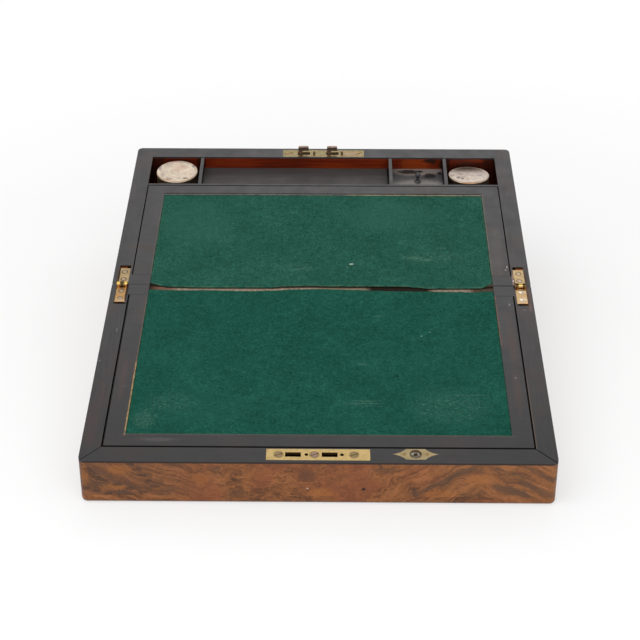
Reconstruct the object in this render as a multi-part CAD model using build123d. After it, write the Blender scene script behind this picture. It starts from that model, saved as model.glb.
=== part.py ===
"""Writing slope: a folding box for writing, modelled open as it stands in use.

Frame: X to the right, Y away from the writer, Z up, millimetres.  The origin is on the
table, under the middle of the hinge line.  The base (inkwells, pen tray, lock) lies at
y > 0 and the lid at y < 0.  Both rims lie in one sloping plane that meets the hinge line.
"""
from build123d import *
import os
from math import cos, radians, sin, sqrt, tan

os.makedirs("parts", exist_ok=True)

# ---------------------------------------------------------------- driving dimensions
width = 350.0                 # both halves, across
half_depth = 207.0            # each half, front to back on the table
slope_angle = 10.0            # the writing slope above the table, degrees
lid_front_height = 37.0       # near wall of the open lid
corner_radius = 4.5           # upright arrises at the lock side, in plan
hinge_corner_radius = 1.5     # upright arrises at the hinge side, in plan
foot_radius = 3.5             # arris between the walls and the panels they stand on
panel_thickness = 7.0         # base bottom board and lid panel
wall_thickness = 10.0
lining_thickness = 5.0        # strips inside the walls, up to the rims' inner edge
ledge_width = 5.0             # part of a lining that carries a flap's edge
rim_thickness = 1.5           # dark lippings on top of walls and linings
rim_width = 15.0
mitre_gap = 0.5               # the lid's mitres have shrunk open
rail_width = 13.5             # fixed strip beside the hinge line
joint_gap = 0.2               # between the two halves when open
closing_gap = 0.3             # between the two rims when shut

flap_thickness = 6.0
flap_side_gap = 1.0           # round a flap's sides and free edge
flap_hinge_gap = 0.3          # at the cloth hinge
flap_seat_gap = 0.1           # over the ledges
border_thickness = 1.0        # dark banding glued round a flap
border_width = 15.5           # at the sides of a flap
base_border_width = 14.7      # along the free edge of the base flap
lid_border_width = 13.4       # along the free edge of the lid flap
baize_thickness = 0.9
torn_width = 8.0              # bare strip beside the hinge line, on the lid's rail

tray_length = 43.0            # front to back, inside the compartments
tray_board = 3.0              # front board, above the flap's ledge
tray_top_drop = 0.4           # tops of the tray boards below the rim plane
partition_thickness = 3.0
inkwell_well_width = 45.5
stamp_well_width = 47.5
tray_floor_drop = 10.7        # pen-tray floor and stamp lid below the rim plane
floor_thickness = 3.0
stamp_lid_thickness = 3.0
stamp_ledge = 2.5             # square strips that carry the stamp lid
loose_clearance = 0.4         # round the stamp lid

knob_base_diameter = 6.5
knob_stem_diameter = 2.3
knob_ball_diameter = 5.1
knob_height = 9.9
knob_base_height = 1.6
knob_foot_edge = 0.6

bottle_width = 37.0
bottle_height = 36.0          # up to the shoulder
bottle_wall = 4.5
bottle_corner = 5.0
bottle_shoulder = 2.0
neck_diameter = 30.0
neck_bore = 21.0
neck_height = 5.5
cap_diameter = 38.2
cap_height = 9.0
cap_wall = 1.7
cap_edge = 0.7
cap_drop = 3.5                # middle of a seated cap's top below the rim plane
askew_angle = 7.9             # the left cap sits askew on its neck
askew_shift = 0.9             # and its bottle stands this much nearer the writer
left_bottle_shift = 1.9       # to the right of the middle of its well
right_bottle_shift = -2.3

plate_length = 76.0           # lock plate and striking plate
plate_width = 11.6
plate_thickness = 2.2
plate_edge = 2.4              # from the plates' outer edge to the box's outer edge
hook_stem = 4.0
hook_length = 9.7
hook_thickness = 2.6
hook_height = 7.5             # above the lock plate
hook_arm = 3.9                # height of the part that catches
hook_shoulder = 1.4           # radius of its top corners
hook_travel = 5.0
hook_places = (-23.5, 3.3)    # left edge of each hook, unlocked, from the plate's middle
slot_width = 4.6
slot_length = 11.6
slot_lead = 0.7               # slot beyond the stem, at its left
hook_mortise_depth = 10.0     # below the striking plate's face
bolt_height = 8.0
bolt_gap = 0.2
case_screw_gap = 2.0          # lock case clear of the plate's nearer screw
case_thickness = 8.0
case_depth = 16.0
case_lead = 5.2               # lock case's outer face, from the plate's middle
bolt_lead = 2.0               # bolt beyond the left hook
bolt_tail = 6.0               # and beyond the right hook's stem
pin_places = (-8.6, 17.4)
pin_diameter = 2.2
pin_hole = 2.8
pin_height = 2.6
lock_screw_insets = (5.5, 5.0)      # from the lock plate's ends
strike_screw_insets = (9.1, 11.7)   # from the striking plate's ends
strike_middle_screw = -2.7
screw_head = 6.3
screw_shank = 3.0
screw_length = 11.0
keyhole_diameter = 4.6
keyhole_slot = 2.2
keyhole_length = 9.0
keyhole_drop = 14.0           # below the lock plate's face
escutcheon_width = 14.0
escutcheon_height = 24.0
escutcheon_thickness = 1.2
escutcheon_drop = 1.5         # its middle below the keyhole's

catch_place = 71.3            # from the middle of the box
catch_inset = 1.0             # nearer the flap than the middle of the striking plate
lozenge_length = 34.3
lozenge_width = 11.0
lozenge_flat = 14.0
lozenge_waist = 3.3           # width halfway along a point
lozenge_thickness = 1.6
turn_diameter = 8.1
turn_gap = 0.2
turn_recess = 0.6
flange_diameter = 10.6
flange_thickness = 0.7
flange_gap = 0.1
tongue_length = 11.5
tongue_width = 3.2
tongue_thickness = 2.2
tongue_gap = 0.3
turn_slot = 1.2
turn_slot_depth = 0.7
lozenge_pin_places = (-8.3, 8.3)
lozenge_pin_diameter = 2.0
lozenge_pin_length = 2.3      # ends above the catch's tongue

leaf_width = 8.8
leaf_inset = 8.7              # middle of a leaf from the box's side
leaf_length = 23.0
leaf_thickness = 1.6
leaf_drop = 0.8               # top of a leaf below the rim plane
leaf_start = 3.0              # where the plate of a leaf clears the other leaf's knuckle
mortise_extra = 3.0           # mortise beyond a leaf's end
mortise_gap = 0.15
knuckle_diameter = 4.6
knuckle_clearance = 0.4
middle_knuckle = 3.2
knuckle_gap = 0.2
hinge_pin_diameter = 2.0
running_fit = 0.05            # radial, between the pin and the lid's knuckles
leaf_screw_places = (8.0, 18.0)
leaf_screw_head = 3.6
leaf_screw_shank = 2.0
leaf_screw_length = 9.0

# ---------------------------------------------------------------- what follows from them
slope = radians(slope_angle)
hinge_height = lid_front_height + half_depth * tan(slope)
slope_length = half_depth / cos(slope)
rim_edge = slope_length - rim_width                     # inner edge of a lock-side rim
side_edge = width / 2 - rim_width                       # inner edge of a side rim
lining_face = width / 2 - wall_thickness                # inner face of a side wall
field_edge = side_edge - flap_side_gap - border_width   # side edge of the baize
lining_back = half_depth - wall_thickness - lining_thickness
tray_front = lining_back - tray_length                  # back face of the tray's front board
tray_board_edge = (tray_front - tray_board) / cos(slope)
flap_seat = flap_thickness + flap_seat_gap
pin_rise = closing_gap / 2                              # hinge pin above the rim plane
well_edge = side_edge - inkwell_well_width              # inkwell well, inner side
stamp_edge = well_edge - partition_thickness - stamp_well_width
plate_line = slope_length - plate_edge - plate_width / 2
leaf_line = width / 2 - leaf_inset
flap_start = rail_width + flap_hinge_gap
base_flap_end = tray_board_edge - flap_side_gap
lid_flap_end = rim_edge - flap_side_gap
BASE, LID = 1, -1                                       # side of the hinge line
FAR = width + 2 * half_depth                            # beyond everything
PAST = 1.0                                              # of a cut beyond a face


# ---------------------------------------------------------------- helpers
def on_slope(shape):
    """Put a shape drawn flat (x across, y up the slope, z off the slope) on the slope."""
    return Location((0, 0, hinge_height), (slope_angle, 0, 0)) * shape


def block(xs, ys, zs):
    """A box between pairs of coordinates, given in either order."""
    low = [min(pair) for pair in (xs, ys, zs)]
    size = [abs(pair[1] - pair[0]) for pair in (xs, ys, zs)]
    return Pos(*low) * Box(*size, align=(Align.MIN, Align.MIN, Align.MIN))


def slope_block(xs, vs, ws):
    return on_slope(block(xs, vs, ws))


def under(depth):
    """Everything that lies at least this deep below the rim plane."""
    return slope_block((-FAR, FAR), (-FAR, FAR), (-FAR, -depth))


def prism(points, z0, z1):
    """An upright prism with straight sides through points (x, y)."""
    face = make_face(Polyline(*points, close=True))
    return Pos(0, 0, z0) * extrude(face, z1 - z0)


def slope_prism(points, w0, w1):
    return on_slope(prism(points, w0, w1))


def plan(half, top):
    """The rounded plan of one half as an upright prism from the table up."""
    near, far = half * joint_gap / 2, half * half_depth
    body = block((-width / 2, width / 2), (near, far), (0, top))
    uprights = body.edges().filter_by(Axis.Z)
    body = fillet(uprights.filter_by_position(Axis.Y, far - PAST, far + PAST), corner_radius)
    uprights = body.edges().filter_by(Axis.Z)
    at_hinge = uprights.filter_by_position(Axis.Y, near - 0.01, near + 0.01)
    return fillet(at_hinge, hinge_corner_radius)


def post(x, v, diameter, w0, w1):
    """A round upright on the slope."""
    body = Cylinder(diameter / 2, w1 - w0, align=(Align.CENTER, Align.CENTER, Align.MIN))
    return on_slope(Pos(x, v, w0) * body)


def screw(x, v, head, shank, length, top=0.0):
    """A countersunk, slotted wood screw driven square into the slope."""
    sink = head / 4
    slot_depth = sink / 3
    outline = Polyline((0, 0), (head / 2, 0), (head / 2, -sink / 4), (shank / 2, -sink),
                       (shank / 2, -length + shank), (0, -length), close=True)
    body = revolve(Plane.XZ * make_face(outline), Axis.Z)
    cut = block((-head, head), (-head / 14, head / 14), (-slot_depth, PAST))
    whole = on_slope(Pos(x, v, top) * body)
    return whole, on_slope(Pos(x, v, top) * (body - Rot(0, 0, 25) * cut))


def joined(shapes):
    return Compound(children=list(shapes))


def cut_from(shape, tools):
    for tool in tools:
        shape = shape - tool
    return shape


def solids_of(shape):
    found = shape.solids()
    return found[0] if len(found) == 1 else Compound(children=list(found))


def save(name, shape):
    export_step(solids_of(shape), f"parts/{name}.step")


# ---------------------------------------------------------------- fittings that cut the wood
def plate_face(half):
    """Lock plate or striking plate: a bar with slots for the hooks."""
    v = half * plate_line
    bar = slope_block((-plate_length / 2, plate_length / 2),
                      (v - plate_width / 2, v + plate_width / 2), (-plate_thickness, 0))
    slots = []
    for place in hook_places:
        start = place - slot_lead
        slots.append(slope_block((start, start + slot_length),
                                 (v - slot_width / 2, v + slot_width / 2),
                                 (-plate_thickness, 0)))
    return bar, slots


lock_bar, lock_slots = plate_face(BASE)
strike_bar, strike_slots = plate_face(LID)
plate_end = plate_length / 2
lock_screw_places = (-plate_end + lock_screw_insets[0], plate_end - lock_screw_insets[1])
strike_screw_places = (-plate_end + strike_screw_insets[0], strike_middle_screw,
                       plate_end - strike_screw_insets[1])
lock_screws = [screw(x, plate_line, screw_head, screw_shank, screw_length)
               for x in lock_screw_places]
strike_screws = [screw(x, -plate_line, screw_head, screw_shank, screw_length)
                 for x in strike_screw_places]
lock_pins = []
for place in pin_places:
    tip = Pos(place, plate_line, pin_height - pin_diameter / 2)
    pin = post(place, plate_line, pin_diameter, -plate_thickness, pin_height - pin_diameter / 2)
    lock_pins.append(pin + on_slope(tip * Sphere(pin_diameter / 2)))

hook_room_length = hook_length + hook_travel + 2 * slot_lead
hook_rooms = [slope_block((place - slot_lead, place - slot_lead + hook_room_length),
                          (-plate_line - slot_width / 2, -plate_line + slot_width / 2),
                          (-hook_mortise_depth, -plate_thickness))
              for place in hook_places]
pin_rooms = [post(place, -plate_line, pin_hole, -pin_height - closing_gap - PAST, 0)
             for place in pin_places]

bolt_top = -plate_thickness - bolt_gap
case_end = -lock_screw_places[0] - screw_shank / 2 - case_screw_gap
case_box = slope_block((-case_end, case_end),
                       (plate_line - case_lead, plate_line - case_lead + case_thickness),
                       (-plate_thickness - case_depth, -plate_thickness))
bolt_left = hook_places[0] - bolt_lead
bolt_right = hook_places[1] + hook_stem + bolt_tail
bolt_room = slope_block((bolt_left - bolt_gap, bolt_right + hook_travel + bolt_gap),
                        (plate_line - hook_thickness / 2 - bolt_gap,
                         plate_line + hook_thickness / 2 + bolt_gap),
                        (bolt_top - bolt_height - bolt_gap, -plate_thickness))

key_height = hinge_height + plate_line * sin(slope) - keyhole_drop * cos(slope)


def keyhole(y0, y1):
    """A round hole with a straight slot below it, through in Y."""
    hole = Pos(0, y0, key_height) * Rot(-90, 0, 0) * Cylinder(
        keyhole_diameter / 2, y1 - y0, align=(Align.CENTER, Align.CENTER, Align.MIN))
    slot = block((-keyhole_slot / 2, keyhole_slot / 2), (y0, y1),
                 (key_height - keyhole_length + keyhole_diameter / 2, key_height))
    return hole + slot


key_way = keyhole(plate_line * cos(slope), half_depth + PAST)
escutcheon_face = Pos(0, half_depth, key_height - escutcheon_drop) * Rot(90, 0, 0) * extrude(
    Ellipse(escutcheon_width / 2, escutcheon_height / 2), escutcheon_thickness)

catch_line = -plate_line + catch_inset


def lozenge():
    """The flap catch's plate: two concave-sided points on a square middle."""
    half_flat, half_long, half_wide = lozenge_flat / 2, lozenge_length / 2, lozenge_width / 2
    mid = (half_flat + half_long) / 2
    edges = []
    for sx, sy in ((1, 1), (1, -1), (-1, -1), (-1, 1)):
        edges.append(ThreePointArc((sx * half_flat, sy * half_wide), (sx * mid, sy * lozenge_waist / 2),
                                   (sx * half_long, 0)))
    for sy in (1, -1):
        edges.append(Line((-half_flat, sy * half_wide), (half_flat, sy * half_wide)))
    return Pos(0, 0, -lozenge_thickness) * extrude(make_face(edges), lozenge_thickness)


lozenge_body = on_slope(Pos(catch_place, catch_line, 0) * lozenge())
lozenge_pins = [post(catch_place + x, catch_line, lozenge_pin_diameter, -lozenge_pin_length, 0)
                for x in lozenge_pin_places]
turn_hole = post(catch_place, catch_line, turn_diameter + 2 * turn_gap, -lozenge_thickness, 0)
flange_low = lozenge_thickness + flange_gap + flange_thickness
flange_room = post(catch_place, catch_line, flange_diameter + 2 * turn_gap,
                   -flange_low - flange_gap, -lozenge_thickness)
tongue_low = flange_low + tongue_thickness
tongue_reach = tongue_length + 2 * tongue_gap
tongue_heel = tongue_width / sqrt(2) + tongue_gap          # its back corners swing in this
tongue_room = slope_block((catch_place - tongue_heel, catch_place + tongue_reach),
                          (catch_line - tongue_heel, catch_line + tongue_reach),
                          (-tongue_low - tongue_gap, -flange_low))


def hinge_room(side, half):
    """Mortise for one leaf, with room for the whole barrel at the hinge line."""
    x = side * leaf_line
    reach = leaf_width / 2 + mortise_gap
    room = slope_block((x - reach, x + reach), (-half * PAST, half * (leaf_length + mortise_extra)),
                       (-leaf_drop - leaf_thickness, PAST))
    barrel = on_slope(Pos(x, 0, pin_rise) * Rot(0, 90, 0) * Cylinder(
        knuckle_diameter / 2 + knuckle_clearance, 2 * reach))
    return room + barrel


def leaf(side, half):
    """One hinge leaf, its knuckles and the holes for its screws."""
    x = side * leaf_line
    reach = leaf_width / 2
    low, high = -leaf_drop - leaf_thickness, -leaf_drop
    body = slope_block((x - reach, x + reach), (half * leaf_start, half * leaf_length),
                       (low, high))
    middle = middle_knuckle / 2
    spans = [(-middle, middle)] if half == BASE else [
        (-reach, -middle - knuckle_gap), (middle + knuckle_gap, reach)]
    for start, end in spans:
        barrel = Pos(x + (start + end) / 2, 0, pin_rise) * Rot(0, 90, 0) * Cylinder(
            knuckle_diameter / 2, end - start)
        neck = block((x + start, x + end), (0, half * leaf_start),
                     (pin_rise - knuckle_diameter / 2, high))
        body = body + on_slope(barrel) + on_slope(neck)
    bore = hinge_pin_diameter / 2 + (0 if half == BASE else running_fit)
    return body - on_slope(Pos(x, 0, pin_rise) * Rot(0, 90, 0) * Cylinder(bore, 2 * leaf_width))


leaf_screws = {half: [screw(side * leaf_line, half * place, leaf_screw_head, leaf_screw_shank,
                            leaf_screw_length, top=-leaf_drop)
                      for side in (-1, 1) for place in leaf_screw_places]
               for half in (BASE, LID)}

cuts = {BASE: [lock_bar, case_box, key_way, escutcheon_face],
        LID: [strike_bar, lozenge_body, turn_hole, flange_room, tongue_room]}
cuts[BASE] += [whole for whole, slotted in lock_screws]
cuts[LID] += hook_rooms + pin_rooms + lozenge_pins
cuts[LID] += [whole for whole, slotted in strike_screws]
for half in (BASE, LID):
    cuts[half] += [hinge_room(side, half) for side in (-1, 1)]
    cuts[half] += [whole for whole, slotted in leaf_screws[half]]


# ---------------------------------------------------------------- carcase of each half
def flap_pocket(half):
    """The space that a writing flap drops into, down to its ledges."""
    end = tray_board_edge if half == BASE else rim_edge
    return slope_block((-side_edge, side_edge), (half * rail_width, half * end),
                       (-flap_seat, FAR))


def wall_set(half):
    """Four walls on the panel, long ones right across, cut off at the rims."""
    shell = plan(half, FAR) & under(rim_thickness)
    outer, inner = half * half_depth, half * (half_depth - wall_thickness)
    hinge_face = half * wall_thickness
    spans = {"hinge_wall": ((-width / 2, width / 2), (0, hinge_face)),
             "lock_wall": ((-width / 2, width / 2), (inner, outer)),
             "left_wall": ((-width / 2, -lining_face), (hinge_face, inner)),
             "right_wall": ((lining_face, width / 2), (hinge_face, inner))}
    return {name: shell & block(xs, ys, (panel_thickness, FAR))
            for name, (xs, ys) in spans.items()}


def lining_set(half):
    """Strips inside the walls, rebated so that the flap lies level with the rims."""
    room = under(rim_thickness)
    pocket = flap_pocket(half)
    rail_face = half * rail_width * cos(slope)
    inner = half * (half_depth - wall_thickness)
    ledge = half * ledge_width
    across = (-lining_face, lining_face)
    hinge = block(across, (half * wall_thickness, rail_face + ledge), (panel_thickness, FAR))
    hinge = (hinge & room) - pocket
    if half == BASE:
        lock = block(across, (lining_back, inner), (panel_thickness, FAR)) & room
        ledge_end = tray_front - tray_board - ledge_width
    else:
        lock = block(across, (inner, -lining_back - ledge), (panel_thickness, FAR))
        lock = (lock & room) - pocket
        ledge_end = inner
    sides = []
    for side in (-1, 1):
        strip = block((side * side_edge, side * lining_face), (rail_face, inner),
                      (panel_thickness, FAR))
        carrier = block((side * (side_edge - ledge_width), side * side_edge),
                        (rail_face, ledge_end), (panel_thickness, FAR))
        strip = ((strip + carrier) & room) - pocket
        sides.append(strip - hinge - lock)
    return hinge, lock, sides


def rim_set(half):
    """Lippings with mitres at the lock side, and the fixed rail at the hinge line."""
    over = rim_width + PAST                         # past the outline, then trimmed to it
    edge, end = side_edge, half * rim_edge
    open_by = mitre_gap / sqrt(2) if half == LID else 0.0    # taken off each board
    slab = plan(half, FAR) & slope_block((-FAR, FAR), (-FAR, FAR), (-rim_thickness, 0))
    near, far = edge - open_by, edge + over - open_by
    lock = slope_prism([(-near, end), (near, end), (far, end + half * over),
                        (-far, end + half * over)], -FAR, FAR)
    rail = slope_prism([(-edge, -half * PAST), (edge, -half * PAST), (edge, half * rail_width),
                        (-edge, half * rail_width)], -FAR, FAR)
    end -= half * open_by
    sides = [slope_prism([(side * edge, -half * PAST), (side * edge, end),
                          (side * (edge + over), end + half * over),
                          (side * (edge + over), -half * PAST)], -FAR, FAR) for side in (-1, 1)]
    return slab & lock, slab & rail, [slab & piece for piece in sides]


def panel(half):
    """Bottom board or lid panel, with its lower arris rounded over."""
    body = plan(half, panel_thickness)
    lowest = body.edges().filter_by_position(Axis.Z, -0.01, 0.01)
    rounded = lowest.filter_by_position(Axis.Y, *sorted((half * wall_thickness, half * (half_depth + PAST))))
    return fillet(rounded, foot_radius)


def flap_set(half):
    """Core board, dark border and baize of one writing flap, and the baize on its rail."""
    end = base_flap_end if half == BASE else lid_flap_end
    band = base_border_width if half == BASE else lid_border_width
    edge, start = side_edge - flap_side_gap, half * flap_start
    field_end = half * (end - band)
    core = slope_block((-edge, edge), (start, half * end), (-flap_thickness, -border_thickness))
    strips = [slope_prism([(-edge, half * end), (edge, half * end), (field_edge, field_end),
                           (-field_edge, field_end)], -border_thickness, 0)]
    for side in (-1, 1):
        strips.append(slope_prism([(side * edge, start), (side * edge, half * end),
                                   (side * field_edge, field_end), (side * field_edge, start)],
                                  -border_thickness, 0))
    cloth = (-border_thickness, baize_thickness - border_thickness)
    baize = slope_block((-field_edge, field_edge), (start, field_end), cloth)
    bare = joint_gap if half == BASE else torn_width
    strip = slope_block((-field_edge, field_edge), (half * bare, half * rail_width), cloth)
    return core, joined(strips), baize, strip


names = {BASE: "base", LID: "lid"}
lock_names = {BASE: "back", LID: "front"}
for half in (BASE, LID):
    name, lock_side = names[half], lock_names[half]
    tools = cuts[half]
    save("base_bottom_board" if half == BASE else "lid_panel", panel(half))
    for wall, shape in wall_set(half).items():
        save(f"{name}_{wall.replace('lock', lock_side)}", cut_from(shape, tools))
    hinge, lock, sides = lining_set(half)
    save(f"{name}_hinge_lining", cut_from(hinge, tools))
    save(f"{name}_{lock_side}_lining", cut_from(lock, tools))
    save(f"{name}_side_linings", joined(cut_from(strip, tools) for strip in sides))
    core, border, baize, rail_baize = flap_set(half)
    lock_rim, rail, side_rims = rim_set(half)
    baize_seat = slope_block((-field_edge, field_edge), (-half * PAST, half * rail_width),
                             (-border_thickness, PAST))
    save(f"{name}_{lock_side}_rim", cut_from(lock_rim, tools))
    save(f"{name}_hinge_rail", cut_from(rail - baize_seat, tools))
    save(f"{name}_side_rims", joined(cut_from(strip, tools) for strip in side_rims))
    if half == LID:
        core = core - tongue_room
    save(f"{name}_flap_board", core)
    save(f"{name}_flap_border", border)
    save(f"{name}_flap_baize", baize)
    save(f"{name}_rail_baize", rail_baize)

# ---------------------------------------------------------------- tray at the back of the base
bottle_middle = {-1: (tray_front + lining_back) / 2 - askew_shift,
                 1: (tray_front + lining_back) / 2}
well_middle = (side_edge + well_edge) / 2
bottle_across = {-1: -well_middle + left_bottle_shift, 1: well_middle + right_bottle_shift}
cap_top = hinge_height + bottle_middle[1] * tan(slope) - cap_drop / cos(slope)
well_floor = cap_top - cap_height - bottle_height
tray_low = well_floor - floor_thickness
tray_room = under(tray_top_drop)
between = (tray_front, lining_back)

front_board = block((-side_edge, side_edge), (tray_front - tray_board - ledge_width, tray_front),
                    (tray_low, FAR))
save("tray_front_board", (front_board & tray_room) - flap_pocket(BASE))

partitions = {"left_inkwell_partition": (-well_edge, -well_edge + partition_thickness),
              "pen_tray_partition": (stamp_edge - partition_thickness, stamp_edge),
              "right_inkwell_partition": (well_edge - partition_thickness, well_edge)}
for name, xs in partitions.items():
    save(name, block(xs, between, (tray_low, FAR)) & tray_room)

pen_span = (-well_edge + partition_thickness, stamp_edge - partition_thickness)
pen_floor = block(pen_span, between, (0, FAR)) & slope_block(
    (-FAR, FAR), (-FAR, FAR), (-tray_floor_drop - floor_thickness, -tray_floor_drop))
save("pen_tray_floor", pen_floor)
stamp_span = (stamp_edge, well_edge - partition_thickness)
save("stamp_well_floor", block(stamp_span, between, (tray_low, well_floor)))
save("inkwell_well_floors", joined(
    block((side * well_edge, side * side_edge), between, (tray_low, well_floor))
    for side in (-1, 1)))

stamp_low = tray_floor_drop + stamp_lid_thickness
ledge_slab = slope_block((-FAR, FAR), (-FAR, FAR), (-stamp_low - stamp_ledge, -stamp_low))
save("stamp_lid_ledges", joined(block(xs, between, (0, FAR)) & ledge_slab for xs in (
    (stamp_span[0], stamp_span[0] + stamp_ledge), (stamp_span[1] - stamp_ledge, stamp_span[1]))))
lid_slab = slope_block((-FAR, FAR), (-FAR, FAR), (-stamp_low, -tray_floor_drop))
stamp_lid = block((stamp_span[0] + loose_clearance, stamp_span[1] - loose_clearance),
                  (tray_front + loose_clearance, lining_back - loose_clearance), (0, FAR))
stamp_lid = stamp_lid & lid_slab


def knob(height):
    """A turned knob: dished foot, thin stem and a ball."""
    foot, stem, ball = knob_base_diameter / 2, knob_stem_diameter / 2, knob_ball_diameter / 2
    profile = make_face(Polyline((0, 0), (foot, 0), (foot, knob_foot_edge),
                                 (stem, knob_base_height), (stem, height - ball), (0, height - ball),
                                 close=True))
    return revolve(Plane.XZ * profile, Axis.Z) + Pos(0, 0, height - ball) * Sphere(ball)


knob_line = ((tray_front + lining_back) / 2) / cos(slope) - tray_floor_drop * tan(slope)
knob_seat = Pos((stamp_span[0] + stamp_span[1]) / 2, knob_line, -tray_floor_drop)
save("stamp_lid", stamp_lid)
save("stamp_lid_knob", on_slope(knob_seat * knob(knob_height)))

# ---------------------------------------------------------------- inkwells and their caps
half_bottle = bottle_width / 2
for side, name in ((-1, "left"), (1, "right")):
    stand = Pos(bottle_across[side], bottle_middle[side], well_floor)
    body = block((-half_bottle, half_bottle), (-half_bottle, half_bottle), (0, bottle_height))
    body = chamfer(body.edges().filter_by(Axis.Z), bottle_corner)
    body = fillet(body.edges().filter_by_position(Axis.Z, bottle_height - 0.1, bottle_height + 0.1),
                  bottle_shoulder)
    neck = Pos(0, 0, bottle_height) * Cylinder(
        neck_diameter / 2, neck_height, align=(Align.CENTER, Align.CENTER, Align.MIN))
    ink_room = Pos(0, 0, bottle_wall) * Cylinder(
        half_bottle - bottle_wall, bottle_height - 2 * bottle_wall,
        align=(Align.CENTER, Align.CENTER, Align.MIN))
    mouth = Pos(0, 0, bottle_wall) * Cylinder(
        neck_bore / 2, bottle_height + neck_height, align=(Align.CENTER, Align.CENTER, Align.MIN))
    save(f"{name}_inkwell", stand * (body + neck - ink_room - mouth))

    cap = Cylinder(cap_diameter / 2, cap_height, align=(Align.CENTER, Align.CENTER, Align.MIN))
    cap = fillet(cap.edges().sort_by(Axis.Z)[-1], cap_edge)
    cap = cap - Cylinder(cap_diameter / 2 - cap_wall, cap_height - cap_wall,
                         align=(Align.CENTER, Align.CENTER, Align.MIN))
    tilt = askew_angle if side < 0 else 0.0
    lip = Pos(0, -cap_diameter / 2, bottle_height)
    drop = Pos(0, askew_shift if side < 0 else 0.0, 0)
    lean = Pos(0, cap_height / 2 * sin(radians(tilt)), 0)      # keeps its skirt off the neck
    seated = lip * Rot(tilt, 0, 0) * Pos(0, cap_diameter / 2, 0) * cap
    save(f"{name}_inkwell_cap", stand * drop * lean * seated)

# ---------------------------------------------------------------- lock, striking plate, catch
lock_plate = cut_from(lock_bar, lock_slots + [whole for whole, slotted in lock_screws] + lock_pins)
save("lock_plate", lock_plate)
save("lock_plate_screws", joined(slotted for whole, slotted in lock_screws))
save("lock_steady_pins", joined(lock_pins))
save("lock_case", case_box - bolt_room - key_way)


def hook(place):
    """One hook: a stem with an arm to the right and a rounded shoulder."""
    left, right = place, place + hook_length
    arm_low = hook_height - hook_arm
    outline = Polyline((left, bolt_top - bolt_height), (left, hook_height), (right, hook_height),
                       (right, arm_low), (left + hook_stem, arm_low),
                       (left + hook_stem, bolt_top - bolt_height), close=True)
    face = fillet(make_face(outline).vertices().group_by(Axis.Y)[-1], hook_shoulder)
    return extrude(face, hook_thickness / 2, both=True)


bolt = block((bolt_left, bolt_right), (bolt_top - bolt_height, bolt_top),
             (-hook_thickness / 2, hook_thickness / 2))
for place in hook_places:
    bolt = bolt + hook(place)
save("lock_hook_bolt", on_slope(Pos(0, plate_line, 0) * Rot(90, 0, 0) * bolt))
save("keyhole_escutcheon", escutcheon_face - key_way)

striking_plate = cut_from(strike_bar, strike_slots + pin_rooms
                          + [whole for whole, slotted in strike_screws])
save("striking_plate", striking_plate)
save("striking_plate_screws", joined(slotted for whole, slotted in strike_screws))
save("flap_catch_plate", cut_from(lozenge_body, [turn_hole] + lozenge_pins))
save("flap_catch_pins", joined(lozenge_pins))

turn_low = -flange_low
button = Pos(0, 0, turn_low) * Cylinder(turn_diameter / 2, -turn_recess - turn_low,
                                        align=(Align.CENTER, Align.CENTER, Align.MIN))
flange = Pos(0, 0, turn_low) * Cylinder(flange_diameter / 2, flange_thickness,
                                        align=(Align.CENTER, Align.CENTER, Align.MIN))
tongue = block((-tongue_width / 2, tongue_length), (-tongue_width / 2, tongue_width / 2),
               (-tongue_low, turn_low))
turn_cut = block((-turn_diameter, turn_diameter), (-turn_slot / 2, turn_slot / 2),
                 (-turn_recess - turn_slot_depth, 0))
save("flap_catch_turn", on_slope(Pos(catch_place, catch_line, 0)
                                 * (button + flange + tongue - Rot(0, 0, 20) * turn_cut)))

# ---------------------------------------------------------------- hinges
for half in (BASE, LID):
    leaves = []
    for side in (-1, 1):
        holes = [whole for whole, slotted in leaf_screws[half]]
        leaves.append(cut_from(leaf(side, half), holes))
    save(f"{names[half]}_hinge_leaves", joined(leaves))
    save(f"{names[half]}_hinge_screws", joined(slotted for whole, slotted in leaf_screws[half]))
save("hinge_pins", joined(
    on_slope(Pos(side * leaf_line, 0, pin_rise) * Rot(0, 90, 0)
             * Cylinder(hinge_pin_diameter / 2, leaf_width)) for side in (-1, 1)))
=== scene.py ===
"""Looks of the writing slope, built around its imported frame.

Metres, in the frame's own axes: X to the right, Y away from the writer, Z up.  Sizes are
written in millimetres and turned to metres where a mesh is made.
"""
import bmesh
import bpy
from math import cos, pi, radians, sin, tan
from mathutils import Matrix, Vector, noise


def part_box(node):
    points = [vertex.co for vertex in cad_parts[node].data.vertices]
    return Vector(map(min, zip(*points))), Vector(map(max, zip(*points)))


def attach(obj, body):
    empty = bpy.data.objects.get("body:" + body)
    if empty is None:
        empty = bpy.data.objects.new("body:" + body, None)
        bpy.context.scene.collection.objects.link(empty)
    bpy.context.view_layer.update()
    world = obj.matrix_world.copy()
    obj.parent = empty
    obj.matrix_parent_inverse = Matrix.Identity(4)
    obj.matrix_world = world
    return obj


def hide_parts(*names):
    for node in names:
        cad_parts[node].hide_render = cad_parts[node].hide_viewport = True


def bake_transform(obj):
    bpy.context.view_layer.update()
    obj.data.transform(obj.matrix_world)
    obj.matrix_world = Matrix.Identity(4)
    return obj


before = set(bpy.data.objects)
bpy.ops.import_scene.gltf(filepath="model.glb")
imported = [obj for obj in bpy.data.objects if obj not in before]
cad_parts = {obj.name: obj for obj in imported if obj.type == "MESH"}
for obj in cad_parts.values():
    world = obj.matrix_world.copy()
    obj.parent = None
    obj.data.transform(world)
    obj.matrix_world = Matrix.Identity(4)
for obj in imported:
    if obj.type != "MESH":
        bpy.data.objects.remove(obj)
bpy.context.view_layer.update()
MM = 0.001

# ---------------------------------------------------------------- the carcases
# Both halves are boxes of pine, veneered outside in burr walnut and French polished, with a
# panel glued under the walls.  The lid lies nearest, so its front wall shows its figure most.
half_width, front, front_height = 175, -207, 37


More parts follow.
